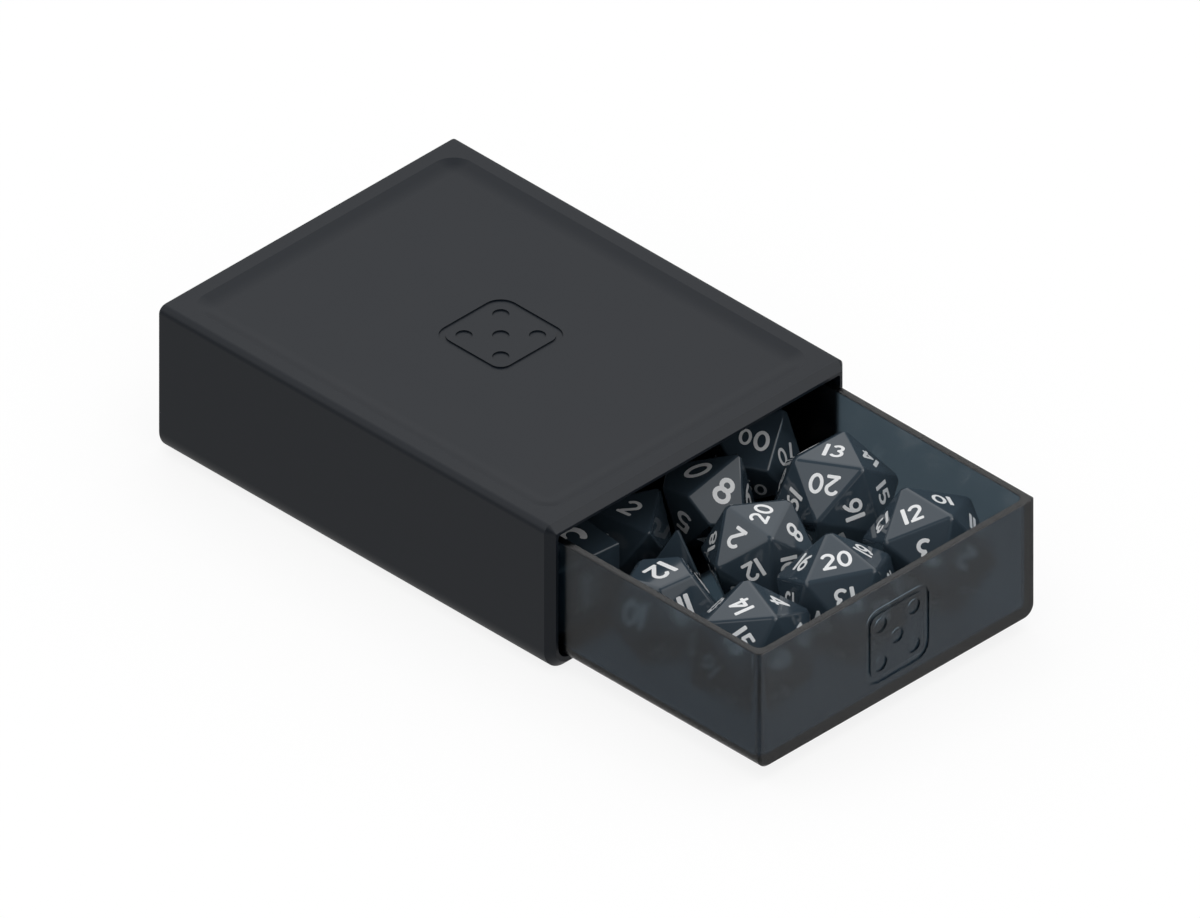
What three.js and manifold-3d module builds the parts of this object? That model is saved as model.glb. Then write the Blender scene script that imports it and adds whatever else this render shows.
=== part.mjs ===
// A slide box for gaming dice: a dark moulded sleeve, open at both ends like a matchbox's, and a smoky
// clear drawer that slides through it lengthwise, with eleven polyhedral dice lying in its front half.
// Units are millimetres. X runs along the slide towards the drawer's front, Y across it, Z up.
// The origin is the centre of the sleeve's underside, and the drawer stands half open.

import * as THREE from 'three';
import * as BufferGeometryUtils from 'three/addons/utils/BufferGeometryUtils.js';
import Module from 'manifold-3d';

const wasm = await Module();
wasm.setup();

// Sleeve
const sleeveLength = 110;
const sleeveWidth = 82.7;
const sleeveHeight = 35.1;
const sleeveWall = 2.3;
const sleeveFloor = 2.8;
const topEdgeRound = 1.75;
const bottomEdgeRound = 5.5;
const mouthChamfer = 1.65;
const boreTopRound = 0.6;

// Shallow dished panel in the sleeve's top
const panelEndMargin = 4.9;
const panelSideMargin = 4.3;
const panelCornerRound = 4.9;
const panelRamp = 1.5;
const panelBlend = 3.0;
const panelSlopeShare = 0.25;

// Drawer
const drawerHeight = 27.8;
const drawerWall = 1.7;
const drawerFloor = 2.2;
const drawerFrontRound = 0.7;
const drawerToeRound = 0.8;
const trayCornerRound = 1.9;
const trayFootRound = 1.2;
const rimChamfer = 0.3;
const slideGap = 0.3;
const sideGap = 0.8;
const drawerOpenShare = 0.4991;

// Dice, measured across parallel faces, or from face to tip on the four-sided one
const countDieAcross = 21.8;
const twentyDieAcross = 19.9;
const twelveDieAcross = 18.1;
const tenDieAcross = 15.4;
const eightDieAcross = 14;
const sixDieAcross = 15.5;
const fourDieHeight = 17.4;
const dieEdgeInset = 0.6;
const twelveEdgeInset = 0.9;
const tenTipShare = 1.05;
const restGap = 0.3;
const dieGap = 0.25;
const shuffleMove = 0.5;

// Smoothness of the curves, in segments, the places tried round a die, and the cutters' overrun
const cornerSteps = 8;
const blendSteps = 5;
const shuffleSpokes = 24;
const sameDirectionShare = 0.9999;
const overrun = 1;

// Colours
const sleeveFinish = new THREE.MeshStandardMaterial({ color: 0x34373c, roughness: 0.62, metalness: 0 });
const drawerFinish = new THREE.MeshStandardMaterial({
  color: 0x4a5258, roughness: 0.35, metalness: 0, transparent: true, opacity: 0.6 });
const diceFinish = new THREE.MeshStandardMaterial({ color: 0x1f2c38, roughness: 0.18, metalness: 0 });


// A closed solid through a pile of matching convex outlines, each a ring of points in the same order.
function loft(rings) {
  const count = rings[0].length;
  const last = rings.length - 1;
  const index = [];
  for (let level = 0; level < last; level += 1) {
    for (let i = 0; i < count; i += 1) {
      const next = (i + 1) % count;
      const a = level * count + i;
      const b = level * count + next;
      index.push(a, b, b + count, a, b + count, a + count);
    }
  }
  for (let i = 1; i < count - 1; i += 1) {
    index.push(0, i + 1, i);
    index.push(last * count, last * count + i, last * count + i + 1);
  }
  const geometry = new THREE.BufferGeometry().setFromPoints(rings.flat());
  geometry.setIndex(index);
  return geometry;
}

// A rectangle with a round at each corner, anticlockwise from the first quarter: [x, y] pairs.
function roundedRectangle(left, right, low, high, lowRound, highRound) {
  const largest = Math.min(right - left, high - low) / 2;
  const rounds = [highRound, highRound, lowRound, lowRound].map((r) => Math.min(Math.max(r, 0), largest));
  const corners = [[right, high], [left, high], [left, low], [right, low]];
  const points = [];
  corners.forEach(([x, y], quarter) => {
    const radius = rounds[quarter];
    const centreX = x - Math.sign(x - (left + right) / 2) * radius;
    const centreY = y - Math.sign(y - (low + high) / 2) * radius;
    for (let step = 0; step <= cornerSteps; step += 1) {
      const angle = (quarter + step / cornerSteps) * Math.PI / 2;
      points.push([centreX + radius * Math.cos(angle), centreY + radius * Math.sin(angle)]);
    }
  });
  return points;
}

const acrossX = (outline, x) => outline.map(([y, z]) => new THREE.Vector3(x, y, z));
const levelAt = (outline, z) => outline.map(([x, y]) => new THREE.Vector3(x, y, z));

// Joining and cutting
function solidOf(geometry) {
  const bare = geometry.clone();
  bare.deleteAttribute('normal');
  bare.deleteAttribute('uv');
  const merged = BufferGeometryUtils.mergeVertices(bare, restGap / 1000);
  return new wasm.Manifold(new wasm.Mesh({
    numProp: 3,
    vertProperties: new Float32Array(merged.attributes.position.array),
    triVerts: new Uint32Array(merged.index.array),
  }));
}

function geometryOf(solid) {
  const mesh = solid.getMesh();
  const geometry = new THREE.BufferGeometry();
  geometry.setAttribute('position', new THREE.BufferAttribute(new Float32Array(mesh.vertProperties), 3));
  geometry.setIndex(new THREE.BufferAttribute(new Uint32Array(mesh.triVerts), 1));
  return geometry;
}

function part(name, geometry, material) {
  const mesh = new THREE.Mesh(geometry, material);
  mesh.name = name;
  return mesh;
}


// Sleeve: a rounded tube with chamfered mouths and a dished panel in its top.
const sleeveHalfLength = sleeveLength / 2;
const sleeveHalfWidth = sleeveWidth / 2;
const boreHalfWidth = sleeveHalfWidth - sleeveWall;
const boreCeiling = sleeveHeight - sleeveWall;
const boreBottomRound = bottomEdgeRound - sleeveWall;

function sleeveOutline(inset) {
  return roundedRectangle(
    -sleeveHalfWidth + inset, sleeveHalfWidth - inset, inset, sleeveHeight - inset,
    bottomEdgeRound - inset, topEdgeRound - inset);
}

function makeSleeveSkin() {
  return solidOf(loft([
    acrossX(sleeveOutline(mouthChamfer), -sleeveHalfLength),
    acrossX(sleeveOutline(0), -sleeveHalfLength + mouthChamfer),
    acrossX(sleeveOutline(0), sleeveHalfLength - mouthChamfer),
    acrossX(sleeveOutline(mouthChamfer), sleeveHalfLength),
  ]));
}

function makeBore() {
  const outline = roundedRectangle(
    -boreHalfWidth, boreHalfWidth, sleeveFloor, boreCeiling, boreBottomRound, boreTopRound);
  return solidOf(loft([
    acrossX(outline, -sleeveHalfLength - overrun),
    acrossX(outline, sleeveHalfLength + overrun),
  ]));
}

// The panel's edge falls in a straight ramp and then runs out level in a hollow blend.
function makePanelHollow() {
  const halfLength = sleeveHalfLength - panelEndMargin;
  const halfWidth = sleeveHalfWidth - panelSideMargin;
  const ring = (inset, z) => levelAt(roundedRectangle(
    -halfLength + inset, halfLength - inset, -halfWidth + inset, halfWidth - inset,
    panelCornerRound - inset, panelCornerRound - inset), z);
  const rings = [];
  for (let step = blendSteps; step >= 0; step -= 1) {
    const along = panelBlend * step / blendSteps;
    const fall = panelSlopeShare * (panelRamp + along - along * along / (2 * panelBlend));
    rings.push(ring(panelRamp + along, sleeveHeight - fall));
  }
  rings.push(ring(0, sleeveHeight));
  rings.push(ring(0, sleeveHeight + overrun));
  return solidOf(loft(rings));
}

const sleeve = part(
  'sleeve', geometryOf(makeSleeveSkin().subtract(makeBore()).subtract(makePanelHollow())), sleeveFinish);


// Drawer: an open tray as long as the sleeve, shown slid half out of it.
const drawerHalfLength = sleeveHalfLength;
const drawerHalfWidth = boreHalfWidth - sideGap;
const drawerBase = sleeveFloor + slideGap;
const drawerRim = drawerBase + drawerHeight;
const drawerSideRound = Math.max(boreBottomRound - slideGap / 2, drawerToeRound);
const trayFloor = drawerBase + drawerFloor;
const trayHalfLength = drawerHalfLength - drawerWall;
const trayHalfWidth = drawerHalfWidth - drawerWall;
const drawerOut = sleeveLength * drawerOpenShare;

// How far a quarter round of the given radius draws in, at a height above its foot.
function drawnIn(radius, height) {
  if (height >= radius) return 0;
  return radius - Math.sqrt(radius * radius - (radius - height) * (radius - height));
}

// Rings up a tray-shaped body whose long and short bottom edges have rounds of their own.
function trayRings(base, halfLength, halfWidth, corner, longRound, shortRound) {
  const heights = new Set();
  for (let step = 0; step <= cornerSteps; step += 1) {
    const turn = 1 - Math.cos(Math.PI / 2 * step / cornerSteps);
    heights.add(longRound * turn);
    if (step % 2 === 0) heights.add(shortRound * turn);
  }
  return [...heights].sort((a, b) => a - b).map((height) => {
    const x = halfLength - drawnIn(shortRound, height);
    const y = halfWidth - drawnIn(longRound, height);
    return levelAt(roundedRectangle(-x, x, -y, y, corner, corner), base + height);
  });
}

function makeDrawer() {
  const rimRing = (halfLength, halfWidth, corner, grow, z) => levelAt(roundedRectangle(
    -halfLength - grow, halfLength + grow, -halfWidth - grow, halfWidth + grow, corner, corner), z);
  const outside = trayRings(
    drawerBase, drawerHalfLength, drawerHalfWidth, drawerFrontRound, drawerSideRound, drawerToeRound);
  outside.push(rimRing(drawerHalfLength, drawerHalfWidth, drawerFrontRound, 0, drawerRim - rimChamfer));
  outside.push(rimRing(drawerHalfLength, drawerHalfWidth, drawerFrontRound, -rimChamfer, drawerRim));
  const inside = trayRings(
    trayFloor, trayHalfLength, trayHalfWidth, trayCornerRound, trayFootRound, trayFootRound);
  inside.push(rimRing(trayHalfLength, trayHalfWidth, trayCornerRound, 0, drawerRim - rimChamfer));
  inside.push(rimRing(trayHalfLength, trayHalfWidth, trayCornerRound, rimChamfer, drawerRim));
  inside.push(rimRing(trayHalfLength, trayHalfWidth, trayCornerRound, rimChamfer, drawerRim + overrun));
  const body = solidOf(loft(outside)).subtract(solidOf(loft(inside)));
  return geometryOf(body);
}

const drawerGroup = new THREE.Group();
drawerGroup.position.x = drawerOut;
drawerGroup.add(part('drawer', makeDrawer(), drawerFinish));


// Dice: ideal polyhedra of unit size, with the corners of every face in order.
function cornersOf(geometry) {
  const bare = geometry.clone();
  bare.deleteAttribute('normal');
  bare.deleteAttribute('uv');
  const merged = BufferGeometryUtils.mergeVertices(bare);
  const corners = [];
  for (let i = 0; i < merged.attributes.position.count; i += 1) {
    corners.push(new THREE.Vector3().fromBufferAttribute(merged.attributes.position, i));
  }
  return corners;
}

// The ten-sided die: a zigzag belt of ten corners between two tips, so that its faces are flat kites.
function trapezohedronCorners(tip) {
  const turn = Math.cos(Math.PI / 5);
  const zigzag = tip * (1 - turn) / (1 + turn);
  const corners = [new THREE.Vector3(0, 0, tip), new THREE.Vector3(0, 0, -tip)];
  for (let i = 0; i < 10; i += 1) {
    const angle = i * Math.PI / 5;
    corners.push(new THREE.Vector3(Math.cos(angle), Math.sin(angle), i % 2 ? zigzag : -zigzag));
  }
  return corners;
}

// Every plane with all the corners on one side of it is a face.
function facesOf(corners) {
  const flat = 1e-4;
  const faces = new Map();
  for (let i = 0; i < corners.length; i += 1) {
    for (let j = i + 1; j < corners.length; j += 1) {
      for (let k = j + 1; k < corners.length; k += 1) {
        const plane = new THREE.Plane().setFromCoplanarPoints(corners[i], corners[j], corners[k]);
        if (plane.constant > 0) plane.negate();
        const heights = corners.map((corner) => plane.distanceToPoint(corner));
        if (-plane.constant < flat || Math.max(...heights) > flat) continue;
        const members = corners.map((corner, n) => n).filter((n) => heights[n] > -flat);
        faces.set(members.join(), { normal: plane.normal, reach: -plane.constant, members });
      }
    }
  }
  return [...faces.values()].map((face) => {
    const centre = new THREE.Vector3();
    face.members.forEach((n) => centre.addScaledVector(corners[n], 1 / face.members.length));
    const start = corners[face.members[0]].clone().sub(centre);
    const side = face.normal.clone().cross(start);
    const heading = (n) => {
      const arm = corners[n].clone().sub(centre);
      return Math.atan2(arm.dot(side), arm.dot(start));
    };
    face.members.sort((a, b) => heading(a) - heading(b));
    return { ...face, centre };
  });
}

const dieShapes = {
  twenty: { corners: cornersOf(new THREE.IcosahedronGeometry(1)) },
  twelve: { corners: cornersOf(new THREE.DodecahedronGeometry(1)) },
  ten: { corners: trapezohedronCorners(tenTipShare) },
  eight: { corners: cornersOf(new THREE.OctahedronGeometry(1)) },
  six: { corners: cornersOf(new THREE.BoxGeometry(1, 1, 1)) },
  four: { corners: cornersOf(new THREE.TetrahedronGeometry(1)), tipUp: true },
};
Object.values(dieShapes).forEach((shape) => { shape.faces = facesOf(shape.corners); });

// A die of real size with its edges and corners cut back: each face is drawn in towards its middle,
// and strips between neighbouring faces and small caps at the corners close the body.
function dieGeometry(shape, across, edgeInset) {
  const face = shape.faces[0];
  const tipReach = Math.max(...shape.corners.map((corner) => -corner.dot(face.normal)));
  const size = across / (face.reach + tipReach);
  const points = [];
  const pointAt = new Map();
  shape.faces.forEach(({ members, centre }, f) => {
    const middle = members.map((n, i) => shape.corners[n].clone()
      .add(shape.corners[members[(i + 1) % members.length]]).divideScalar(2).distanceTo(centre));
    const share = Math.min(edgeInset / (size * Math.min(...middle)), 1 / 2);
    members.forEach((n) => {
      pointAt.set(`${f} ${n}`, points.length);
      points.push(shape.corners[n].clone().lerp(centre, share).multiplyScalar(size));
    });
  });
  const index = [];
  const fan = (loop) => {
    for (let i = 1; i < loop.length - 1; i += 1) index.push(loop[0], loop[i], loop[i + 1]);
  };
  const follower = new Map();
  shape.faces.forEach(({ members }, f) => {
    fan(members.map((n) => pointAt.get(`${f} ${n}`)));
    members.forEach((n, i) => {
      const m = members[(i + 1) % members.length];
      const g = shape.faces.findIndex((other, o) => o !== f
        && other.members.includes(n) && other.members.includes(m));
      follower.set(`${n} ${f}`, g);
      if (f < g) fan([`${f} ${m}`, `${f} ${n}`, `${g} ${n}`, `${g} ${m}`].map((key) => pointAt.get(key)));
    });
  });
  shape.corners.forEach((corner, n) => {
    const first = shape.faces.findIndex(({ members }) => members.includes(n));
    const loop = [];
    let f = first;
    do {
      loop.push(pointAt.get(`${f} ${n}`));
      f = follower.get(`${n} ${f}`);
    } while (f !== first);
    fan(loop.reverse());
  });
  const geometry = new THREE.BufferGeometry().setFromPoints(points);
  geometry.setIndex(index);
  return geometry;
}

// The turn that brings a die's first face level and its leading corner to a heading, and then leans it.
function dieTurn(shape, yaw, lean, leanTo) {
  const face = shape.faces[0];
  const up = shape.tipUp ? face.normal.clone().negate() : face.normal;
  const level = new THREE.Quaternion().setFromUnitVectors(up, new THREE.Vector3(0, 0, 1));
  const leader = shape.corners[Math.min(...face.members)].clone().applyQuaternion(level);
  const heading = Math.atan2(leader.y, leader.x);
  const spin = new THREE.Quaternion().setFromAxisAngle(
    new THREE.Vector3(0, 0, 1), THREE.MathUtils.degToRad(yaw) - heading);
  const course = THREE.MathUtils.degToRad(leanTo);
  const tip = new THREE.Quaternion().setFromAxisAngle(
    new THREE.Vector3(-Math.sin(course), Math.cos(course), 0), THREE.MathUtils.degToRad(lean));
  return tip.multiply(spin).multiply(level);
}

// The widest clear gap between two convex bodies along any of their face and crossed edge directions.
function gapBetween(a, b) {
  const distance = a.place.distanceTo(b.place);
  if (distance > a.outer + b.outer + dieGap) return distance - a.outer - b.outer;
  if (distance < a.inner + b.inner) return distance - a.inner - b.inner;
  const axes = [...a.normals, ...b.normals];
  a.edges.forEach((edge) => b.edges.forEach((other) => {
    const axis = edge.clone().cross(other);
    if (axis.length() > 1e-3) axes.push(axis.normalize());
  }));
  const span = (body, axis) => {
    const middle = body.place.dot(axis);
    const marks = body.points.map((point) => point.dot(axis));
    return [middle + Math.min(...marks), middle + Math.max(...marks)];
  };
  return Math.max(...axes.map((axis) => {
    const [lowA, highA] = span(a, axis);
    const [lowB, highB] = span(b, axis);
    return Math.max(lowB - highA, lowA - highB);
  }));
}

// Where the dice lie. back is the share of the tray's length from its front wall to the die's middle,
// and aside is the share of its half width. Angles are in degrees: yaw is the heading of the leading
// corner of the upper face, and the die leans by lean towards leanTo, propped by its neighbours.
const dieShares = [
  { name: 'count_die_front', shape: 'twenty', across: countDieAcross,
    yaw: 146, lean: 13.8, leanTo: -61, back: 0.1356, aside: 0.0086 },
  { name: 'count_die_right', shape: 'twenty', across: countDieAcross,
    yaw: 148, lean: 21.2, leanTo: -93, back: 0.1375, aside: 0.6773 },
  { name: 'count_die_left', shape: 'twenty', across: countDieAcross,
    yaw: 129, lean: 12, leanTo: -107, back: 0.1453, aside: -0.6296 },
  { name: 'count_die_back', shape: 'twenty', across: countDieAcross,
    yaw: 120, lean: 1.5, leanTo: 150, back: 0.3802, aside: 0.6775 },
  { name: 'twenty_sided_die', shape: 'twenty', across: twentyDieAcross,
    yaw: -152, lean: 4.8, leanTo: -3, back: 0.3578, aside: 0.0455 },
  { name: 'twelve_sided_die', shape: 'twelve', across: twelveDieAcross,
    yaw: -46, lean: 6.9, leanTo: -169, back: 0.3601, aside: -0.6681 },
  { name: 'four_sided_die', shape: 'four', across: fourDieHeight,
    yaw: 0.7, lean: 0, leanTo: 0, back: 0.4601, aside: -0.2792 },
  { name: 'ten_sided_die', shape: 'ten', across: tenDieAcross,
    yaw: 64, lean: 16, leanTo: -135, back: 0.5497, aside: 0.2308 },
  { name: 'tens_die', shape: 'ten', across: tenDieAcross,
    yaw: 96, lean: 24, leanTo: -45, back: 0.5877, aside: 0.7007 },
  { name: 'eight_sided_die', shape: 'eight', across: eightDieAcross,
    yaw: 98, lean: 2, leanTo: 126, back: 0.5914, aside: -0.2534 },
  { name: 'six_sided_die', shape: 'six', across: sixDieAcross,
    yaw: 129.5, lean: 0, leanTo: 0, back: 0.5944, aside: -0.7323 },
];

// A die takes the free place nearest to the one it is given, tried ring by ring round that place. A
// place is free when the die stands clear of the tray's walls and of the dice already lying there.
function settle(body, lying) {
  const given = body.place.clone();
  const low = new THREE.Vector2(restGap - trayHalfLength, restGap - trayHalfWidth).sub(body.box.min);
  const high = new THREE.Vector2(trayHalfLength - restGap, trayHalfWidth - restGap).sub(body.box.max);
  const isFree = () => !lying.some((other) => gapBetween(body, other) < dieGap);
  for (let ring = 0; ring * shuffleMove < 2 * trayHalfLength; ring += 1) {
    for (let spoke = 0; spoke < (ring ? shuffleSpokes : 1); spoke += 1) {
      const angle = 2 * Math.PI * spoke / shuffleSpokes;
      const place = new THREE.Vector2(Math.cos(angle), Math.sin(angle))
        .multiplyScalar(ring * shuffleMove).add(given).clamp(low, high);
      body.place.set(place.x, place.y, given.z);
      if (isFree()) return;
    }
  }
  body.place.copy(given);
}

const lying = [];
dieShares.forEach(({ name, shape: kind, across, yaw, lean, leanTo, back, aside }) => {
  const shape = dieShapes[kind];
  const turn = dieTurn(shape, yaw, lean, leanTo);
  const geometry = dieGeometry(shape, across, kind === 'twelve' ? twelveEdgeInset : dieEdgeInset);
  geometry.applyQuaternion(turn);
  const points = cornersOf(geometry);
  const box = new THREE.Box3().setFromPoints(points);
  const oneOfEach = (directions) => directions.filter((direction, i) => directions
    .findIndex((other) => Math.abs(other.dot(direction)) > sameDirectionShare) === i);
  const edges = oneOfEach(shape.faces.flatMap(({ members }) => members.map((n, i) => shape.corners[n]
    .clone().sub(shape.corners[members[(i + 1) % members.length]]).normalize().applyQuaternion(turn))));
  const normals = oneOfEach(shape.faces.map(({ normal }) => normal.clone().applyQuaternion(turn)));
  const body = {
    points, box, edges, normals,
    outer: Math.max(...points.map((point) => point.length())),
    inner: Math.min(...normals.map((normal) => Math.max(...points.map((point) => point.dot(normal))))),
    place: new THREE.Vector3(
      trayHalfLength - 2 * trayHalfLength * back, trayHalfWidth * aside, trayFloor + restGap - box.min.z),
  };
  settle(body, lying);
  lying.push(body);
  const die = part(name, geometry, diceFinish);
  die.position.copy(body.place);
  drawerGroup.add(die);
});

const diceBox = new THREE.Group();
diceBox.name = 'dice_box';
diceBox.add(sleeve, drawerGroup);

export default diceBox;
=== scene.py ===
import bpy
import bmesh
import math
from mathutils import Matrix, Vector


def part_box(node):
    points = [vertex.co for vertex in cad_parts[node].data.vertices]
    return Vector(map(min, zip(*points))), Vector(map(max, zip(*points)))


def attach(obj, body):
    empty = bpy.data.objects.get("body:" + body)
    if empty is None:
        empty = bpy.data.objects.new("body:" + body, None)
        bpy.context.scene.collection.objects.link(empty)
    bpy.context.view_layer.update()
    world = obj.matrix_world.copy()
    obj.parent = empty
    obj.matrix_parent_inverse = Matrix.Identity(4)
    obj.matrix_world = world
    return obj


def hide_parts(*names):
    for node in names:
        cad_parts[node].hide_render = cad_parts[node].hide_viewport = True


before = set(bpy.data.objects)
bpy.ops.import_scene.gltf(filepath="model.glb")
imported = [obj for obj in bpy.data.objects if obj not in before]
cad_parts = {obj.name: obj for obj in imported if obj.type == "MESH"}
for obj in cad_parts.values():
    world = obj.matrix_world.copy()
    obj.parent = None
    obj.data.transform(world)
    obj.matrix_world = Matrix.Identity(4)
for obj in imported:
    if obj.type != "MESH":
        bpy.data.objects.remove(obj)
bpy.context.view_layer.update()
bpy.ops.object.select_all(action='DESELECT')

# Camera: a straight parallel view from the drawer's front corner, 35 degrees above the table.
# The picture is 235 mm across, and its middle lies a little right of and above the box's own origin.
view_azimuth = math.radians(45)
view_elevation = math.radians(35)
picture_width = 0.23513
camera_distance = 1.2
camera_reach = 5
aim_right = 0.019443
aim_up = 0.003862
towards_viewer = Vector((
    math.cos(view_elevation) * math.sin(view_azimuth),
    -math.cos(view_elevation) * math.cos(view_azimuth),
    math.sin(view_elevation)))
picture_right = Vector((math.cos(view_azimuth), math.sin(view_azimuth), 0))
picture_up = towards_viewer.cross(picture_right)
aim = picture_right * aim_right + picture_up * aim_up
bpy.ops.object.camera_add(location=aim + towards_viewer * camera_distance)
camera = bpy.context.active_object
camera.name = "camera"
camera.rotation_euler = (math.pi / 2 - view_elevation, 0, view_azimuth)
camera.data.type = 'ORTHO'
camera.data.ortho_scale = picture_width
camera.data.clip_end = camera_reach
bpy.context.scene.camera = camera
bpy.context.scene.view_settings.view_transform = 'Standard'

# Studio: a pale floor without an edge, plain surroundings and one large soft lamp overhead. Seen
# directly, both are white. In glossy surfaces the room is darker in three places and brighter in one,
# and the floor is darker there and through the clear plastic: there its brightness is painted light,
# a glow of fixed strength rather than lit floor. The light that they shed is mild.
surround_light = 0.75
lamp_power = 3.6
overhead_light = 0.12
horizon_light = 0.1
front_light = 2.3
beyond_drawer = (0.52, 0.67, 0.53)
lamp_side = 1.1
lamp_height = 0.95
lamp_forward = 0.02
floor_side = 8
floor_paleness = 0.85
floor_roughness = 0.9
floor_grey = (0.45, 0.45, 0.45, 1)
floor_white = (1, 1, 1, 1)
# Painted light: the floor's fixed glow in glossy surfaces (floor_mirrored, brighter to the right) and
# through the plastic.
floor_mirrored = 0.46
floor_mirrored_right = 0.6
rightwards = (1, 1, 0)
floor_right = (0.05, 0.11)
floor_through_plastic = 0.235


# The rays that see the room itself: the camera's own by direct_share, mirrored and see-through
# ones fully.
def seen_rays(nodes, links, direct_share):
    path = nodes.new('ShaderNodeLightPath')
    seen = None
    rays = (('Is Camera Ray', direct_share), ('Is Glossy Ray', 1), ('Is Transmission Ray', 1))
    for ray, amount in rays:
        added = nodes.new('ShaderNodeMath')
        added.operation = 'MULTIPLY_ADD'
        added.use_clamp = True
        added.inputs[1].default_value = amount
        added.inputs[2].default_value = 0
        links.new(path.outputs[ray], added.inputs[0])
        if seen:
            links.new(seen, added.inputs[2])
        seen = added.outputs[0]
    return seen


# How bright the room is round a direction: light within inner degrees of it, white beyond outer
# degrees.
def room_patch(nodes, links, direction, inner, outer, light):
    place = nodes.new('ShaderNodeTexCoord')
    towards = nodes.new('ShaderNodeVectorMath')
    towards.operation = 'DOT_PRODUCT'
    towards.inputs[1].default_value = direction
    links.new(place.outputs['Generated'], towards.inputs[0])
    fade = nodes.new('ShaderNodeMapRange')
    fade.interpolation_type = 'SMOOTHSTEP'
    fade.inputs['From Min'].default_value = math.cos(math.radians(outer))
    fade.inputs['From Max'].default_value = math.cos(math.radians(inner))
    fade.inputs['To Min'].default_value = 1
    fade.inputs['To Max'].default_value = light
    links.new(towards.outputs['Value'], fade.inputs['Value'])
    return fade.outputs['Result']


world = bpy.data.worlds.new("surroundings")
bpy.context.scene.world = world
world.use_nodes = True
air = world.node_tree
strength = air.nodes.new('ShaderNodeMapRange')
strength.inputs['To Min'].default_value = surround_light
strength.inputs['To Max'].default_value = 1
air.links.new(seen_rays(air.nodes, air.links, 1), strength.inputs['Value'])
background = air.nodes['Background']
background.inputs['Color'].default_value = (1, 1, 1, 1)

# Patches of the room that only glossy surfaces see: direction, inner and outer degrees, and light.
room_patches = (
    ((0, 0, 1), 25, 30, overhead_light),
    (towards_viewer, 26, 34, overhead_light),
    (beyond_drawer, 6, 20, front_light),
    ((0, 0, -1), 90, 121, horizon_light))
room = None
for direction, inner, outer, light in room_patches:
    patch = room_patch(air.nodes, air.links, direction, inner, outer, light)
    if room:
        joined = air.nodes.new('ShaderNodeMath')
        joined.operation = 'MULTIPLY'
        air.links.new(room, joined.inputs[0])
        air.links.new(patch, joined.inputs[1])
        patch = joined.outputs[0]
    room = patch
air_path = air.nodes.new('ShaderNodeLightPath')
in_gloss = air.nodes.new('ShaderNodeMix')
in_gloss.inputs['A'].default_value = 1
air.links.new(air_path.outputs['Is Glossy Ray'], in_gloss.inputs['Factor'])
air.links.new(room, in_gloss.inputs['B'])
level = air.nodes.new('ShaderNodeMath')
level.operation = 'MULTIPLY'
air.links.new(in_gloss.outputs['Result'], level.inputs[0])
air.links.new(strength.outputs['Result'], level.inputs[1])
air.links.new(level.outputs[0], background.inputs['Strength'])

bpy.ops.mesh.primitive_plane_add(size=floor_side)
floor = bpy.context.active_object
floor.name = "floor"
paper = bpy.data.materials.new("pale_floor")
paper.use_nodes = True
paper_nodes, paper_links = paper.node_tree.nodes, paper.node_tree.links
matt = paper_nodes['Principled BSDF']
paper_path = paper_nodes.new('ShaderNodeLightPath')
paper_shade = paper_nodes.new('ShaderNodeMix')
paper_shade.data_type = 'RGBA'
paper_shade.inputs['A'].default_value = floor_grey
paper_shade.inputs['B'].default_value = floor_white
paper_links.new(paper_path.outputs['Is Camera Ray'], paper_shade.inputs['Factor'])
paper_links.new(paper_shade.outputs['Result'], matt.inputs['Base Color'])
matt.inputs['Roughness'].default_value = floor_roughness
matt.inputs['Specular IOR Level'].default_value = 0
glow = paper_nodes.new('ShaderNodeEmission')

# Painted reflection: mirrored, the floor glows rather than being lit, brighter to the picture's right,
# between the two values of floor_right. Through the plastic it glows at floor_through_plastic, painted
# light that takes no account of the drawer's shadow.
paper_place = paper_nodes.new('ShaderNodeTexCoord')
across_floor = paper_nodes.new('ShaderNodeVectorMath')
across_floor.operation = 'DOT_PRODUCT'
across_floor.inputs[1].default_value = rightwards
paper_links.new(paper_place.outputs['Object'], across_floor.inputs[0])
mirrored = paper_nodes.new('ShaderNodeMapRange')
mirrored.inputs['From Min'].default_value, mirrored.inputs['From Max'].default_value = floor_right
mirrored.inputs['To Min'].default_value = floor_mirrored
mirrored.inputs['To Max'].default_value = floor_mirrored_right
paper_links.new(across_floor.outputs['Value'], mirrored.inputs['Value'])
glow_level = mirrored.outputs['Result']
for ray, level in (('Is Transmission Ray', floor_through_plastic), ('Is Camera Ray', 1)):
    chosen = paper_nodes.new('ShaderNodeMix')
    chosen.inputs['B'].default_value = level
    paper_links.new(paper_path.outputs[ray], chosen.inputs['Factor'])
    paper_links.new(glow_level, chosen.inputs['A'])
    glow_level = chosen.outputs['Result']
paper_links.new(glow_level, glow.inputs['Strength'])
mixed = paper_nodes.new('ShaderNodeMixShader')
paper_links.new(seen_rays(paper_nodes, paper_links, floor_paleness), mixed.inputs[0])
paper_links.new(matt.outputs[0], mixed.inputs[1])
paper_links.new(glow.outputs[0], mixed.inputs[2])
paper_links.new(mixed.outputs[0], paper_nodes['Material Output'].inputs['Surface'])
floor.data.materials.append(paper)

bpy.ops.object.light_add(type='AREA', location=(lamp_forward, 0, lamp_height))
lamp = bpy.context.active_object
lamp.name = "soft_lamp"
lamp.data.energy = lamp_power
lamp.data.size = lamp_side
lamp.visible_glossy = False
lamp.visible_transmission = False
lamp.visible_camera = False

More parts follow.
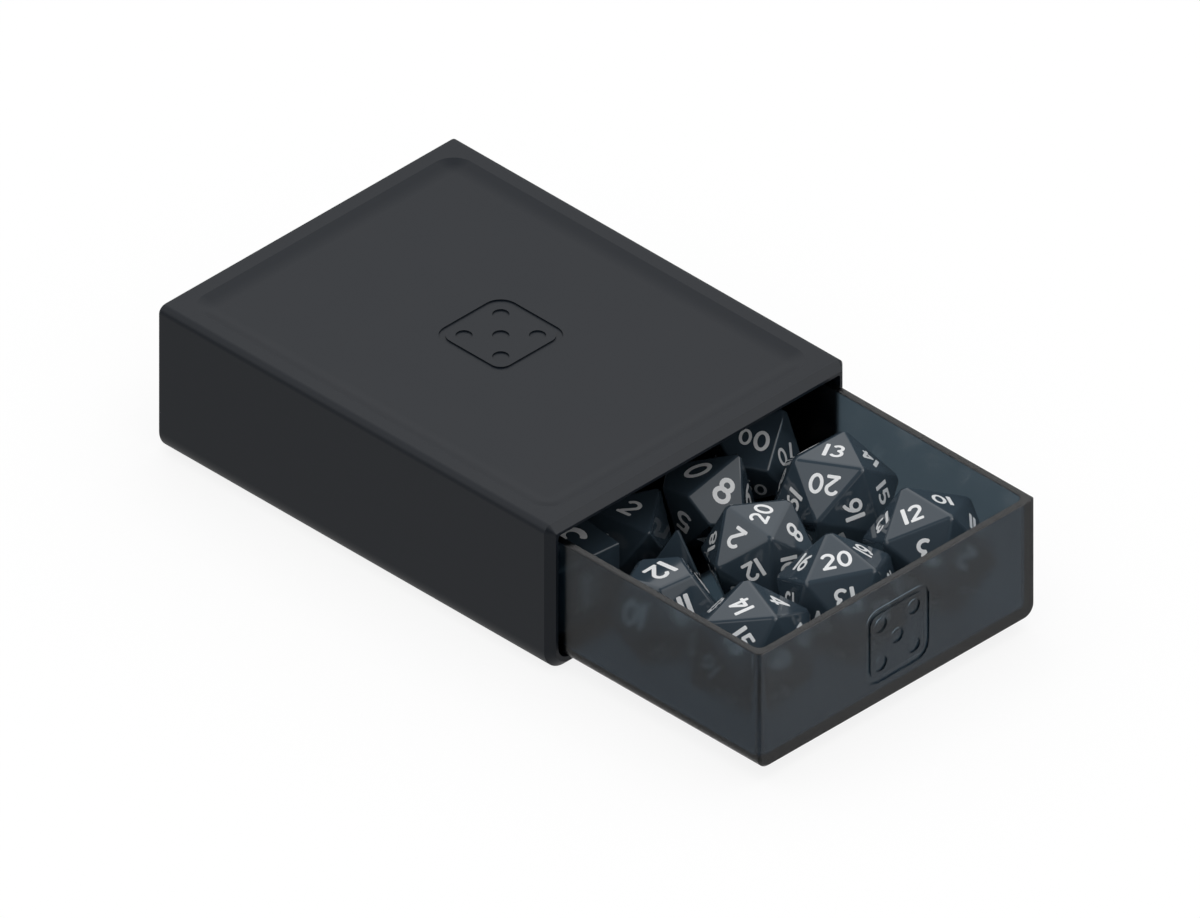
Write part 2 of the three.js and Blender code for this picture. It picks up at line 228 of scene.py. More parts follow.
# Sleeve: the outer shell, one moulding in satin dark grey plastic, open at both ends. The top edges
# have a small round and the bottom ones a large one, and both mouths are chamfered, the front one
# with mitred corners. The top is dished: a shallow panel slopes in from a narrow border.
sleeve_low, sleeve_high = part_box("sleeve")
sleeve_wall = 0.0023
sleeve_floor = 0.0028
top_edge_round = 0.00175
bottom_edge_round = 0.0055
mouth_chamfer = 0.00165
bore_top_round = 0.0006
bore_bottom_round = bottom_edge_round - sleeve_wall
panel_end_margin = 0.0049
panel_side_margin = 0.0043
panel_corner_round = 0.0049
panel_ramp = 0.0015
panel_blend = 0.003
panel_slope = 0.25
blend_steps = 8
past_end = Vector((0.002, 0, 0))
past_top = 0.001
facing = 0.9
edge_softness = 0.00012
soft_steps = 2
soft_edge_angle = 30
smooth_angle = 12.5
motif_side = 0.0196
motif_line = 0.0014
motif_pip = 0.0034
motif_depth = 0.0003
motif_spread = 0.26
motif_corner = 0.2
motif_steps = 8
pip_sides = 32


def only(thing):
    bpy.ops.object.select_all(action='DESELECT')
    thing.select_set(True)
    bpy.context.view_layer.objects.active = thing


def block(name, low, high):
    middle = (Vector(low) + Vector(high)) / 2
    size = Vector(high) - Vector(low)
    bpy.ops.mesh.primitive_cube_add(size=1, location=middle, scale=size)
    bpy.ops.object.transform_apply(location=True, rotation=True, scale=True)
    thing = bpy.context.active_object
    thing.name = name
    return thing


def pick(kind, test):
    bpy.ops.mesh.select_mode(type=kind)
    bpy.ops.mesh.select_all(action='DESELECT')
    shape = bmesh.from_edit_mesh(bpy.context.edit_object.data)
    for item in (shape.edges if kind == 'EDGE' else shape.faces):
        ends = [corner.co for corner in item.verts]
        if test(ends, item):
            item.select_set(True)
    bmesh.update_edit_mesh(bpy.context.edit_object.data)


def near(a, b):
    return abs(a - b) < 1e-6


def upright(a, b):
    return near(a.x, b.x) and near(a.y, b.y)


def lengthwise(a, b, height):
    return near(a.y, b.y) and near(a.z, b.z) and near(a.z, height)


def at_height(a, b, height):
    return near(a.z, height) and near(b.z, height)


def round_edges(thing, radius, test, steps):
    only(thing)
    bpy.ops.object.mode_set(mode='EDIT')
    pick('EDGE', lambda ends, item: test(ends[0], ends[1]))
    bpy.ops.mesh.bevel(offset=radius, segments=steps, profile=0.5, affect='EDGES', clamp_overlap=False)
    bpy.ops.object.mode_set(mode='OBJECT')


def cut(thing, tool, action='DIFFERENCE', tangled=False):
    only(thing)
    step = thing.modifiers.new("cut", 'BOOLEAN')
    step.operation = action
    step.solver = 'EXACT'
    step.object = tool
    step.use_self = tangled
    bpy.ops.object.modifier_apply(modifier=step.name)
    bpy.data.objects.remove(tool)


def smooth(thing):
    only(thing)
    soft = thing.modifiers.new("soft_edges", 'BEVEL')
    soft.width = edge_softness
    soft.segments = soft_steps
    soft.limit_method = 'ANGLE'
    soft.angle_limit = math.radians(soft_edge_angle)
    soft.harden_normals = False
    bpy.ops.object.modifier_apply(modifier=soft.name)
    bpy.ops.object.shade_smooth_by_angle(angle=math.radians(smooth_angle))
    even = thing.modifiers.new("even_shading", 'WEIGHTED_NORMAL')
    even.keep_sharp = True
    even.weight = 100
    bpy.ops.object.modifier_apply(modifier=even.name)


# The five-pip motif, centred on the origin, as a solid that is cut out of a face.
def pips_motif(name, side):
    outer = block(name, (-side / 2, -side / 2, -motif_depth), (side / 2, side / 2, motif_depth))
    round_edges(outer, side * motif_corner, upright, motif_steps)
    hole = side / 2 - motif_line
    inner = block("hole", (-hole, -hole, -2 * motif_depth), (hole, hole, 2 * motif_depth))
    round_edges(inner, side * motif_corner - motif_line, upright, motif_steps)
    cut(outer, inner)
    spots = []
    for across, up in ((0, 0), (1, 1), (1, -1), (-1, 1), (-1, -1)):
        bpy.ops.mesh.primitive_cylinder_add(
            vertices=pip_sides, radius=motif_pip / 2, depth=2 * motif_depth,
            location=(across * motif_spread * side, up * motif_spread * side, 0))
        spots.append(bpy.context.active_object)
    only(outer)
    for spot in spots:
        spot.select_set(True)
    bpy.ops.object.join()
    bpy.ops.object.transform_apply(location=True, rotation=True, scale=True)
    return outer


chamfer_start = Vector((mouth_chamfer, 0, 0))
sleeve = block("sleeve_shell", sleeve_low + chamfer_start, sleeve_high - chamfer_start)
round_edges(sleeve, top_edge_round, lambda a, b: lengthwise(a, b, sleeve_high.z), steps=10)
round_edges(sleeve, bottom_edge_round, lambda a, b: lengthwise(a, b, sleeve_low.z), steps=14)
only(sleeve)
bpy.ops.object.mode_set(mode='EDIT')
pick('FACE', lambda ends, item: item.normal.x > facing)
bpy.ops.mesh.inset(thickness=mouth_chamfer, depth=mouth_chamfer, use_even_offset=True)
pick('FACE', lambda ends, item: item.normal.x < -facing)
bpy.ops.mesh.extrude_region_move(TRANSFORM_OT_translate={"value": (-mouth_chamfer, 0, 0)})
section = (sleeve_high - sleeve_low) / 2
bpy.ops.transform.resize(
    value=(1, 1 - mouth_chamfer / section.y, 1 - mouth_chamfer / section.z),
    center_override=(sleeve_low + sleeve_high) / 2)
bpy.ops.object.mode_set(mode='OBJECT')

bore_bottom = sleeve_low.z + sleeve_floor
bore_top = sleeve_high.z - sleeve_wall
bore = block(
    "bore",
    Vector((sleeve_low.x, sleeve_low.y + sleeve_wall, bore_bottom)) - past_end,
    Vector((sleeve_high.x, sleeve_high.y - sleeve_wall, bore_top)) + past_end)
round_edges(bore, bore_top_round, lambda a, b: lengthwise(a, b, bore_top), steps=4)
round_edges(bore, bore_bottom_round, lambda a, b: lengthwise(a, b, bore_bottom), steps=12)
cut(sleeve, bore)

hollow = block(
    "hollow",
    (sleeve_low.x + panel_end_margin, sleeve_low.y + panel_side_margin, sleeve_high.z),
    (sleeve_high.x - panel_end_margin, sleeve_high.y - panel_side_margin, sleeve_high.z + past_top))
round_edges(hollow, panel_corner_round, upright, steps=10)
only(hollow)
bpy.ops.object.mode_set(mode='EDIT')
pick('FACE', lambda ends, item: item.normal.z < -facing)
bpy.ops.mesh.inset(thickness=panel_ramp, depth=panel_ramp * panel_slope, use_even_offset=True)
# Below the ramp the slope fades evenly to nothing, step by step.
for step in range(blend_steps):
    before, after = step / blend_steps, (step + 1) / blend_steps
    fall = panel_slope * panel_blend * ((after - after ** 2 / 2) - (before - before ** 2 / 2))
    bpy.ops.mesh.inset(thickness=panel_blend / blend_steps, depth=fall, use_even_offset=True)
bpy.ops.object.mode_set(mode='OBJECT')
cut(sleeve, hollow)
panel_floor = sleeve_high.z - panel_slope * (panel_ramp + panel_blend / 2)

top_motif = pips_motif("top_motif", motif_side)
top_motif.data.transform(Matrix.Translation((0, 0, panel_floor)))
cut(sleeve, top_motif)
smooth(sleeve)

# The finish that all the plastics share: a fine even grain, slightly cloudy in colour and gloss. The
# enamel uses it too, for its cloudy colour and gloss only. It is built once, and each material gives
# it values of its own.
grain_detail = 2
cloud_size = 60
cloud_detail = 3
noise_middle = 0.5
bump_strength = 0.5
bump_height = 0.00004


def finish_group(name):
    group = bpy.data.node_groups.new(name, 'ShaderNodeTree')
    for label, low, high, start in (
            ("Grain Size", 0, 100000, 2500), ("Grain", 0, 1, 0.2), ("Cloud", 0, 1, 0.1)):
        socket = group.interface.new_socket(name=label, in_out='INPUT', socket_type='NodeSocketFloat')
        socket.min_value, socket.max_value, socket.default_value = low, high, start
    looks = (("Colour", 'NodeSocketColor'), ("Roughness", 'NodeSocketFloat'))
    for label, kind in looks:
        group.interface.new_socket(name=label, in_out='INPUT', socket_type=kind)
    for label, kind in (*looks, ("Height", 'NodeSocketFloat')):
        group.interface.new_socket(name=label, in_out='OUTPUT', socket_type=kind)
    nodes, links = group.nodes, group.links
    given = nodes.new('NodeGroupInput')
    made = nodes.new('NodeGroupOutput')
    place = nodes.new('ShaderNodeTexCoord')
    grain = nodes.new('ShaderNodeTexNoise')
    grain.inputs['Detail'].default_value = grain_detail
    links.new(place.outputs['Object'], grain.inputs['Vector'])
    links.new(given.outputs['Grain Size'], grain.inputs['Scale'])
    cloud = nodes.new('ShaderNodeTexNoise')
    cloud.inputs['Scale'].default_value = cloud_size
    cloud.inputs['Detail'].default_value = cloud_detail
    links.new(place.outputs['Object'], cloud.inputs['Vector'])
    level = nodes.new('ShaderNodeMath')
    level.operation = 'SUBTRACT'
    level.inputs[1].default_value = noise_middle
    links.new(cloud.outputs['Fac'], level.inputs[0])
    swing = nodes.new('ShaderNodeMath')
    swing.operation = 'MULTIPLY_ADD'
    swing.inputs[2].default_value = 1
    links.new(level.outputs[0], swing.inputs[0])
    links.new(given.outputs['Cloud'], swing.inputs[1])
    shade = nodes.new('ShaderNodeVectorMath')
    shade.operation = 'SCALE'
    links.new(given.outputs['Colour'], shade.inputs[0])
    links.new(swing.outputs[0], shade.inputs['Scale'])
    links.new(shade.outputs[0], made.inputs['Colour'])
    gloss = nodes.new('ShaderNodeMath')
    gloss.operation = 'MULTIPLY'
    links.new(given.outputs['Roughness'], gloss.inputs[0])
    links.new(swing.outputs[0], gloss.inputs[1])
    links.new(gloss.outputs[0], made.inputs['Roughness'])
    relief = nodes.new('ShaderNodeMath')
    relief.operation = 'MULTIPLY'
    links.new(grain.outputs['Fac'], relief.inputs[0])
    links.new(given.outputs['Grain'], relief.inputs[1])
    links.new(relief.outputs[0], made.inputs['Height'])
    return group


moulded_finish = finish_group("moulded_finish")


def plastic(name, colour, roughness, grain_size, grain, cloud):
    material = bpy.data.materials.new(name)
    material.use_nodes = True
    nodes, links = material.node_tree.nodes, material.node_tree.links
    shader = nodes['Principled BSDF']
    look = nodes.new('ShaderNodeGroup')
    look.node_tree = moulded_finish
    look.inputs['Colour'].default_value = (*colour, 1)
    look.inputs['Roughness'].default_value = roughness
    look.inputs['Grain Size'].default_value = grain_size
    look.inputs['Grain'].default_value = grain
    look.inputs['Cloud'].default_value = cloud
    links.new(look.outputs['Colour'], shader.inputs['Base Color'])
    links.new(look.outputs['Roughness'], shader.inputs['Roughness'])
    bump = nodes.new('ShaderNodeBump')
    bump.inputs['Strength'].default_value = bump_strength
    bump.inputs['Distance'].default_value = bump_height
    links.new(look.outputs['Height'], bump.inputs['Height'])
    links.new(bump.outputs['Normal'], shader.inputs['Normal'])
    return material, shader


sleeve_grey = (0.005, 0.008, 0.013)
sleeve_shine = 0.36
satin, satin_shader = plastic(
    "satin_grey_plastic", sleeve_grey, roughness=0.4, grain_size=3500, grain=0.25, cloud=0.1)
satin_shader.inputs['Specular IOR Level'].default_value = sleeve_shine
sleeve.data.materials.clear()
sleeve.data.materials.append(satin)
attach(sleeve, "sleeve_body")
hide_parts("sleeve")

# Drawer: an open tray in smoky see-through plastic, lightly frosted, moulded in one piece.
# Its walls are 1.7 mm, the rim and the corners are just broken, and the long bottom edges follow
# the sleeve's large rounds.
drawer_low, drawer_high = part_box("drawer")
drawer_wall = 0.0017
drawer_floor = 0.0022
drawer_end_chamfer = 0.00055
drawer_side_round = 0.00305
tray_corner_round = 0.0016
tray_foot_round = 0.0012
rim_round = 0.0003
front_motif_side = 0.0176
drawer = block("drawer_tray", drawer_low, drawer_high)
round_edges(drawer, drawer_side_round, lambda a, b: lengthwise(a, b, drawer_low.z), steps=12)
round_edges(
    drawer, drawer_end_chamfer,
    lambda a, b: near(a.x, b.x) and (near(a.x, drawer_low.x) or near(a.x, drawer_high.x))
    and not at_height(a, b, drawer_high.z), steps=1)
well_foot = drawer_low.z + drawer_floor
well = block(
    "well",
    (drawer_low.x + drawer_wall, drawer_low.y + drawer_wall, well_foot),
    (drawer_high.x - drawer_wall, drawer_high.y - drawer_wall, drawer_high.z + past_top))
round_edges(well, tray_corner_round, upright, steps=8)
round_edges(well, tray_foot_round, lambda a, b: at_height(a, b, well_foot), steps=6)
cut(drawer, well)
front_motif = pips_motif("front_motif", front_motif_side)
front_motif.data.transform(
    Matrix.Translation((drawer_high.x, 0, (drawer_low.z + drawer_high.z) / 2))
    @ Matrix.Rotation(math.pi / 2, 4, 'Y'))
cut(drawer, front_motif)
round_edges(drawer, rim_round, lambda a, b: at_height(a, b, drawer_high.z), steps=3)
smooth(drawer)

clear_colour = (0.93, 0.95, 0.96)
smoke_colour = (0.01, 0.245, 0.38, 1)
smoke_density = 700
smoky_index = 1.54
smoky, smoky_shader = plastic(
    "smoky_plastic", clear_colour, roughness=0.25, grain_size=3000, grain=0.04, cloud=0.03)
smoky_shader.inputs['Transmission Weight'].default_value = 1
smoky_shader.inputs['IOR'].default_value = smoky_index
smoky_nodes, smoky_links = smoky.node_tree.nodes, smoky.node_tree.links
smoke = smoky_nodes.new('ShaderNodeVolumeAbsorption')
smoke.inputs['Color'].default_value = smoke_colour
smoke.inputs['Density'].default_value = smoke_density
smoky_links.new(smoke.outputs['Volume'], smoky_nodes['Material Output'].inputs['Volume'])
drawer.data.materials.clear()
drawer.data.materials.append(smoky)
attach(drawer, "drawer_body")
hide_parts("drawer")

# Dice: eleven polished dark slate dice, cast solid, with their edges rounded off by tumbling.
# Each is the CAD solid with its facets merged, shaded so that the edge strips read as rounds.
slate_colour = (0.033, 0.049, 0.065)
slate_index = 1.6
merge_gap = 0.000002
flat_angle = 0.5
dice_names = (
    "count_die_front", "count_die_right", "count_die_left", "count_die_back", "twenty_sided_die",
    "twelve_sided_die", "ten_sided_die", "tens_die", "eight_sided_die", "six_sided_die",
    "four_sided_die")
slate, slate_shader = plastic(
    "polished_slate_plastic", slate_colour, roughness=0.07, grain_size=900, grain=0.02, cloud=0.12)
slate_shader.inputs['IOR'].default_value = slate_index
dice = {}
for name in dice_names:
    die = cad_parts[name].copy()
    die.data = die.data.copy()
    bpy.context.collection.objects.link(die)
    die.parent = None
    die.matrix_world = Matrix.Identity(4)
    die.name = name + "_polished"
    only(die)
    bpy.ops.object.mode_set(mode='EDIT')
    bpy.ops.mesh.select_all(action='SELECT')
    bpy.ops.mesh.remove_doubles(threshold=merge_gap)
    bpy.ops.mesh.dissolve_limited(angle_limit=math.radians(flat_angle))
    bpy.ops.object.mode_set(mode='OBJECT')
    bpy.ops.object.shade_smooth()
    owner = {}
    for face in sorted(die.data.polygons, key=lambda face: face.area):
        owner.update({corner: face.normal.copy() for corner in face.vertices})
    die.data.normals_split_custom_set([owner[corner.vertex_index] for corner in die.data.loops])
    die.data.materials.clear()
    die.data.materials.append(slate)
    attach(die, "drawer_body")
    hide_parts(name)
    dice[name] = die

# Numerals: white enamel filled into the dice and polished level, in a plain round-cornered style.
# Each digit is drawn once as bent bars and copied; a die's numbers are one piece. Here they stand a
# hair proud of the faces, so that the two surfaces stay apart.
stroke = 0.165
one_stroke = 0.205
stroke_round = 0.05
stroke_steps = 2
sharp_turn = 1
proud = 0.00002
sunk = 0.00003
digit_middle = 0.5
digit_gap = 0.1
digit_reach = {"1": one_stroke / 2}
usual_reach = 0.34
beyond_digit = 4
enamel_white = (0.78, 0.79, 0.8, 1)
enamel_roughness = 0.35
enamel_cloud = 0.08


def arc(x, y, across, up, start, end, steps):
    turn = [math.radians(start + (end - start) * i / steps) for i in range(steps + 1)]
    return [(x + across * math.cos(a), y + up * math.sin(a)) for a in turn]


six_tail = [(0.2, 0.92), (0.04, 0.84), (-0.11, 0.7), (-0.21, 0.53), (-0.255, 0.36)]
six_loop = arc(0, 0.325, 0.255, 0.245, 180, 540, 18)
digit_lines = {
    "0": [arc(0, 0.5, 0.265, 0.42, 0, 360, 22)],
    "1": [[(0, 0), (0, 1)]],
    "2": [arc(0, 0.68, 0.255, 0.24, 168, -28, 10) + [(-0.21, 0.12)], [(-0.33, 0.08), (0.32, 0.08)]],
    "3": [arc(-0.01, 0.72, 0.22, 0.2, 155, -90, 11), arc(-0.01, 0.31, 0.26, 0.23, 90, -155, 12)],
    "4": [[(0.12, 0), (0.12, 1)], [(0.12, 0.92), (-0.28, 0.29)], [(-0.34, 0.28), (0.33, 0.28)]],
    "5": [[(0.26, 0.92), (-0.15, 0.92), (-0.19, 0.5)], arc(-0.01, 0.325, 0.265, 0.245, 135, -145, 13)],
    "6": [six_tail, six_loop],
    "7": [[(-0.3, 0.92), (0.26, 0.92), (-0.07, 0)]],
    "8": [arc(0, 0.72, 0.2, 0.2, 0, 360, 16), arc(0, 0.315, 0.255, 0.235, 0, 360, 18)],
    "9": [[(-x, 1 - y) for x, y in line] for line in (six_tail, six_loop)],
}
digits = {}
for digit, lines in digit_lines.items():
    points, edges = [], []
    for line in lines:
        closed = near(math.dist(line[0], line[-1]), 0)
        line = line[:-1] if closed else line
        start = len(points)
        points += [(x, y - digit_middle, -sunk) for x, y in line]
        edges += [(start + i, start + i + 1) for i in range(len(line) - 1)]
        if closed:
            edges.append((start + len(line) - 1, start))
    drawn = bpy.data.meshes.new("digit_" + digit)
    drawn.from_pydata(points, edges, [])
    form = bpy.data.objects.new("digit_" + digit, drawn)
    bpy.context.collection.objects.link(form)
    only(form)
    bpy.ops.object.mode_set(mode='EDIT')
    bpy.ops.mesh.select_all(action='SELECT')
    bpy.ops.mesh.extrude_region_move(TRANSFORM_OT_translate={"value": (0, 0, sunk + proud)})
    bpy.ops.object.mode_set(mode='OBJECT')
    wide = form.modifiers.new("stroke", 'SOLIDIFY')
    wide.thickness = one_stroke if digit == "1" else stroke
    wide.offset = 0
    wide.use_even_offset = True
    bpy.ops.object.modifier_apply(modifier=wide.name)
    bpy.ops.object.mode_set(mode='EDIT')
    pick('EDGE', lambda ends, item: near(ends[0].x, ends[1].x) and near(ends[0].y, ends[1].y)
         and len(item.link_faces) == 2 and item.calc_face_angle() > sharp_turn)
    bpy.ops.mesh.bevel(offset=stroke_round, segments=stroke_steps, affect='EDGES', clamp_overlap=True)
    bpy.ops.object.mode_set(mode='OBJECT')
    # Strokes that overlap become one solid, as the part of them that lies in a much larger cube.
    if len(lines) > 1:
        bpy.ops.mesh.primitive_cube_add(size=beyond_digit)
        cut(form, bpy.context.active_object, action='INTERSECT', tangled=True)
    digits[digit] = form

enamel = bpy.data.materials.new("white_enamel")
enamel.use_nodes = True
enamel_nodes, enamel_links = enamel.node_tree.nodes, enamel.node_tree.links
enamel_shader = enamel_nodes['Principled BSDF']
enamel_look = enamel_nodes.new('ShaderNodeGroup')
enamel_look.node_tree = moulded_finish
enamel_look.inputs['Colour'].default_value = enamel_white
enamel_look.inputs['Roughness'].default_value = enamel_roughness
enamel_look.inputs['Cloud'].default_value = enamel_cloud
enamel_links.new(enamel_look.outputs['Colour'], enamel_shader.inputs['Base Color'])
enamel_links.new(enamel_look.outputs['Roughness'], enamel_shader.inputs['Roughness'])


# Copies of the digits of a number, side by side on a face; the last one may be smaller.
def write_number(text, centre, normal, up, height, last=1):
    up = (up - normal * up.dot(normal)).normalized()
    right = up.cross(normal)
    sizes = [1] * (len(text) - 1) + [last]
    reach = [digit_reach.get(mark, usual_reach) * size for mark, size in zip(text, sizes)]
    width = 2 * sum(reach) + digit_gap * (len(text) - 1)
    along = -width / 2
    written = []
    for mark, half, size in zip(text, reach, sizes):
        copy = digits[mark].copy()
        copy.data = digits[mark].data.copy()
        bpy.context.collection.objects.link(copy)
        spot = centre + (right * (along + half) + up * (size - 1) / 2) * height
        turn = Matrix((right * height * size, up * height * size, normal)).transposed().to_4x4()
        copy.matrix_world = Matrix.Translation(spot) @ turn
        along += 2 * half + digit_gap
        written.append(copy)
    return written


def flat_faces(die, count):
    faces = sorted(die.data.polygons, key=lambda face: -face.area)[:count]
    return [(face.center.copy(), face.normal.copy()) for face in faces]


def heading(degrees):
    return Vector((math.cos(math.radians(degrees)), math.sin(math.radians(degrees)), 0))


# Net of a twenty-sided die: five columns of four faces round a corner, anticlockwise.
# Each face lists its three neighbours anticlockwise, as seen from outside.
def twenty_net(columns):
    net = {}
    for i, (cap, out, up, bottom) in enumerate(columns):
        before, after = columns[i - 1], columns[(i + 1) % 5]
        net[cap] = (before[0], out, after[0])
        net[out] = (cap, before[2], up)
        net[up] = (after[1], out, bottom)
        net[bottom] = (up, before[3], after[3])
    return net


# Which face each number goes on: the first on the uppermost face, the second on the neighbour that
# lies towards course, and the rest as the net says. A glance leans the upward direction to the viewer.
def spread_numbers(faces, net, first, second, course, glance):
    upward = Vector((0, 0, 1)) + towards_viewer * glance
    placed = {first: max(range(len(faces)), key=lambda i: faces[i][1].dot(upward))}
    aside = len(net[first])

    def ring(face):
        centre, normal = faces[face]
        others = sorted(range(len(faces)), key=lambda i: -faces[i][1].dot(normal))[1:aside + 1]
        arms = [faces[i][0] - centre for i in others]
        start = arms[0] - normal * arms[0].dot(normal)
        side = normal.cross(start)
        order = sorted(range(aside), key=lambda k: math.atan2(arms[k].dot(side), arms[k].dot(start)))
        return [others[k] for k in order]

    top = faces[placed[first]][0]
    placed[second] = max(
        ring(placed[first]), key=lambda i: (faces[i][0] - top).normalized().dot(heading(course)))
    waiting = [(first, second)]
    seen = {first}
    while waiting:
        number, known = waiting.pop(0)
        around = ring(placed[number])
        numbers = net[number]
        shift = numbers.index(known) - around.index(placed[known])
        for k, face in enumerate(around):
            other = numbers[(k + shift) % aside]
            placed[other] = face
            if other not in seen:
                seen.add(other)
                waiting.append((other, number))
    return placed


def finish_numbers(name, written):
    only(written[0])
    for piece in written:
        piece.select_set(True)
    bpy.ops.object.join()
    numbers = bpy.context.active_object
    bpy.ops.object.transform_apply(location=True, rotation=True, scale=True)
    bpy.ops.object.mode_set(mode='EDIT')
    bpy.ops.mesh.select_all(action='SELECT')
    bpy.ops.mesh.normals_make_consistent(inside=False)
    bpy.ops.object.mode_set(mode='OBJECT')
    numbers.name = name + "_numbers"
    numbers.data.materials.clear()
    numbers.data.materials.append(enamel)
    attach(numbers, "drawer_body")


# Twenty-sided dice: each number stands on the edge that it shares with the number below it.
# Numbers of one digit are a little larger, and all are moved a little off the edge.
single_digit_size = 1.15
number_rise = 0.06


def number_twenty(name, net, below, height, first, second, course, glance=0):
    faces = flat_faces(dice[name], 20)
    placed = spread_numbers(faces, net, first, second, course, glance)
    written = []
    for number, face in placed.items():
        centre, normal = faces[face]
        base = below.get(number, net[number][0])
        up = centre - faces[placed[base]][0]
        up = (up - normal * up.dot(normal)).normalized()
        tall = height * (single_digit_size if number < 10 else 1)
        written += write_number(str(number), centre + up * height * number_rise, normal, up, tall)
    finish_numbers(name, written)


# The four counting dice share one order of numbers, and neighbouring numbers lie close together.
count_columns = ((16, 15, 14, 4), (20, 13, 12, 3), (19, 10, 11, 2), (18, 9, 8, 1), (17, 7, 6, 5))
count_below = {}
for cap, out, up, bottom in count_columns:
    count_below.update({cap: out, out: cap, up: bottom, bottom: up})
count_net = twenty_net(count_columns)
count_height = 0.0042
for name, first, second, course, glance in (
        ("count_die_back", 13, 20, -45, 0), ("count_die_front", 20, 16, -135, 0),
        ("count_die_right", 12, 3, -45, 0.5), ("count_die_left", 14, 15, -45, 0)):
    number_twenty(name, count_net, count_below, count_height, first, second, course, glance)

# The set's own twenty-sided die is numbered so that opposite faces add up to 21.
set_columns = ((20, 14, 4, 11), (2, 18, 5, 13), (12, 15, 7, 1), (10, 17, 3, 19), (8, 16, 6, 9))
set_below = {20: 8, 8: 20, 2: 20, 12: 2, 18: 2}
set_height = 0.0039
number_twenty(
    "twenty_sided_die", twenty_net(set_columns), set_below, set_height, first=20, second=2, course=-135)

# Twelve-sided die: 12 is on top with five numbers round it, anticlockwise. The lower ring and the
# underside follow, because opposite faces add up to 13.
twelve_ring = (11, 9, 7, 8, 10)
twelve_height = 0.0053
nudge = 0.01
faces = flat_faces(dice["twelve_sided_die"], 12)
top = max(faces, key=lambda face: face[1].z)
ring = sorted(faces, key=lambda face: -face[1].dot(top[1]))[1:6]
first = max(ring, key=lambda face: (face[0] - top[0]).normalized().dot(heading(0)))
start = first[0] - top[0]
side = top[1].cross(start)
ring.sort(key=lambda face: (
    math.atan2((face[0] - top[0]).dot(side), (face[0] - top[0]).dot(start)) + nudge) % (2 * math.pi))
numbered = [(12, top, heading(0))]
numbered += [(number, face, face[0] - top[0]) for number, face in zip(twelve_ring, ring)]
written = []
for number, (centre, normal), up in numbered:
    opposite = min(faces, key=lambda face: face[1].dot(normal))
    written += write_number(str(number), centre, normal, up, twelve_height)
    written += write_number(str(13 - number), opposite[0], opposite[1], -up, twelve_height)
finish_numbers("twelve_sided_die", written)

# Ten-sided dice: five kites meet at each tip, and opposite faces add up to 9. The numbers round one
# tip are given anticlockwise, with their tops towards it. On the die of tens the tops point away from
# the tip, and a smaller 0 follows each number.
tip_share = 0.97
small_zero = 0.8


def number_ten(name, ring_numbers, tip_course, tens, shift, height, twist):
    die = dice[name]
    faces = flat_faces(die, 10)
    middle = sum((face[0] for face in faces), Vector()) / 10
    corners = [corner.co - middle for corner in die.data.vertices]
    reach = max(corner.length for corner in corners)
    tips = [corner for corner in corners if corner.length > reach * tip_share]
    tip = max(tips, key=lambda corner: corner.normalized().dot(tip_course))
    axis = tip.normalized()
    upper = sorted(faces, key=lambda face: -(face[0] - middle).dot(axis))[:5]
    first = max(upper, key=lambda face: face[1].dot(towards_viewer))
    start = first[1] - axis * first[1].dot(axis)
    side = axis.cross(start)
    upper.sort(key=lambda face: (
        math.atan2(face[1].dot(side), face[1].dot(start)) + nudge) % (2 * math.pi))
    way = -1 if tens else 1
    written = []
    for number, (centre, normal) in zip(ring_numbers, upper):
        opposite = min(faces, key=lambda face: face[1].dot(normal))
        up = (middle + tip - centre) * way
        for value, where, out, top_side in ((number, centre, normal, up), (9 - number, *opposite, -up)):
            lift = (top_side - out * top_side.dot(out)) * way
            top_side = Matrix.Rotation(math.radians(twist), 3, out) @ top_side
            text = str(value) + ("0" if tens else "")
            last = small_zero if tens else 1
            written += write_number(text, where + lift * shift, out, top_side, height, last)
    finish_numbers(name, written)


number_ten(
    "ten_sided_die", (8, 6, 4, 2, 0), tip_course=picture_right * 0.4 + picture_up, tens=False,
    shift=0.2, height=0.0058, twist=-10)
number_ten(
    "tens_die", (0, 7, 1, 4, 6), tip_course=picture_right * 0.5 + picture_up, tens=True,
    shift=0.12, height=0.0046, twist=28)

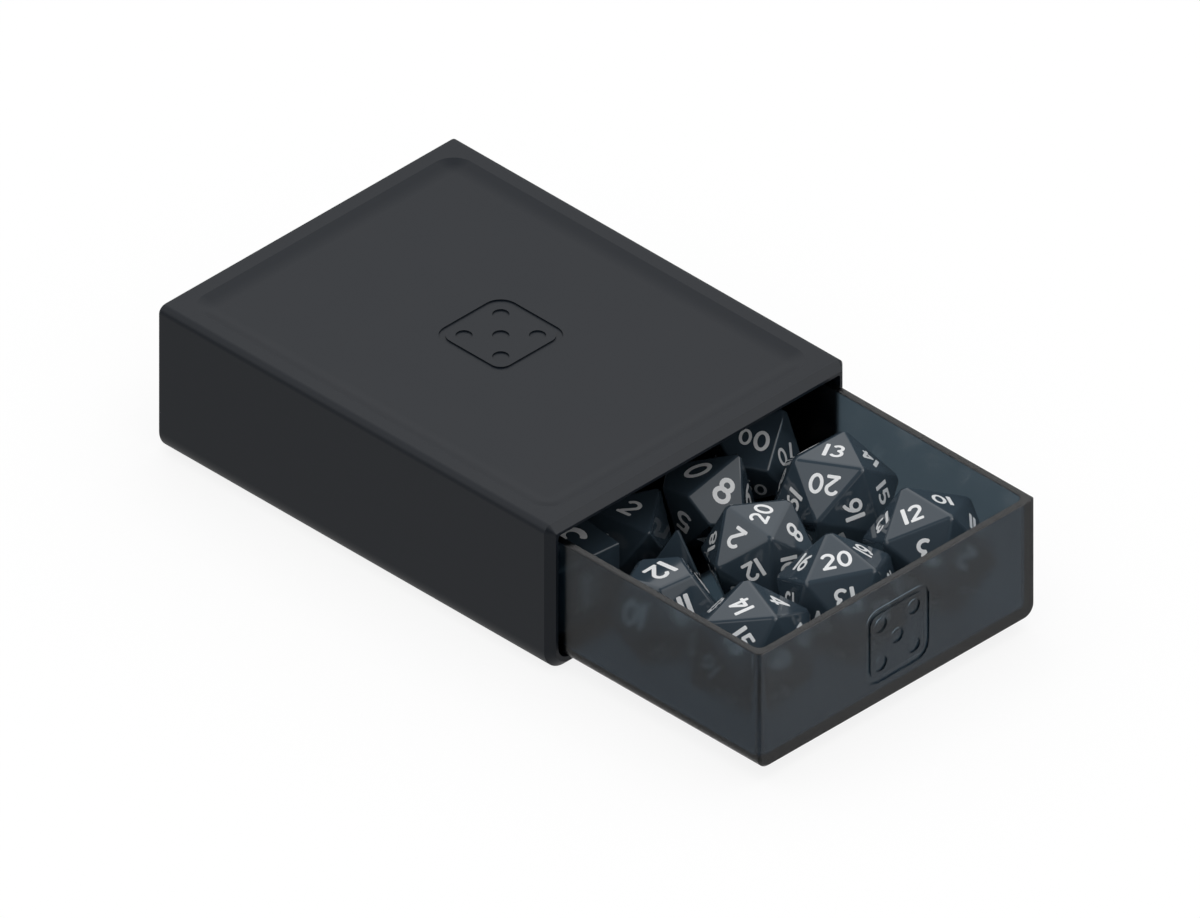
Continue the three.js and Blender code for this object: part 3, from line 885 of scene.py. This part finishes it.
# Eight-sided die: 2 is on top, and opposite faces add up to 9. The numbers on the side faces are not
# quite centred: those of the upper ones slide along the face, and those of the lower ones sit low.
eight_height = 0.0052
eight_slide = -0.0008
eight_far_slide = 0.0012
eight_low = 0.0018
written = []
faces = flat_faces(dice["eight_sided_die"], 8)
top = max(faces, key=lambda face: face[1].z)
ring = sorted(faces, key=lambda face: -face[1].dot(top[1]))[1:4]
first = max(ring, key=lambda face: face[1].dot(heading(45)))
others = [face for face in ring if face is not first]
numbered = [(2, top, heading(97), 0), (8, first, first[0] - top[0], eight_slide)]
numbered += [(number, face, face[0] - top[0], eight_far_slide) for number, face in zip((4, 6), others)]
for number, (centre, normal), up, slide in numbered:
    opposite = min(faces, key=lambda face: face[1].dot(normal))
    low = Vector((0, 0, -1)) + opposite[1] * opposite[1].z
    written += write_number(str(number), centre + up.normalized() * slide, normal, up, eight_height)
    written += write_number(
        str(9 - number), opposite[0] + low * eight_low, opposite[1], -up, eight_height)
finish_numbers("eight_sided_die", written)

# Six-sided die: 3 is on top, and opposite faces add up to 7.
# The numbers on the four side faces stand upright.
six_height = 0.0088
written = []
faces = flat_faces(dice["six_sided_die"], 6)
upwards = Vector((0, 0, 1))
for number, course, up in (
        (3, upwards, heading(-95)), (1, heading(0), upwards), (2, heading(90), upwards)):
    centre, normal = max(faces, key=lambda face: face[1].dot(course))
    opposite = min(faces, key=lambda face: face[1].dot(normal))
    written += write_number(str(number), centre, normal, up, six_height)
    written += write_number(str(7 - number), opposite[0], opposite[1], up, six_height)
finish_numbers("six_sided_die", written)

# Four-sided die: three numbers on each face, one along each edge. The three along the foot name the
# corner that is up, which lies three times as far from the middle as the face opposite it.
four_height = 0.0042
four_drop = 0.3
written = []
faces = flat_faces(dice["four_sided_die"], 4)
middle = sum((face[0] for face in faces), Vector()) / 4
corners = [middle - (face[0] - middle) * 3 for face in faces]
for away, (centre, normal) in enumerate(faces):
    for number, corner in enumerate(corners):
        if number != away:
            up = corner - centre
            foot = centre - up * four_drop
            written += write_number(str(number + 1), foot, normal, up, four_height)
finish_numbers("four_sided_die", written)

for form in digits.values():
    bpy.data.objects.remove(form)
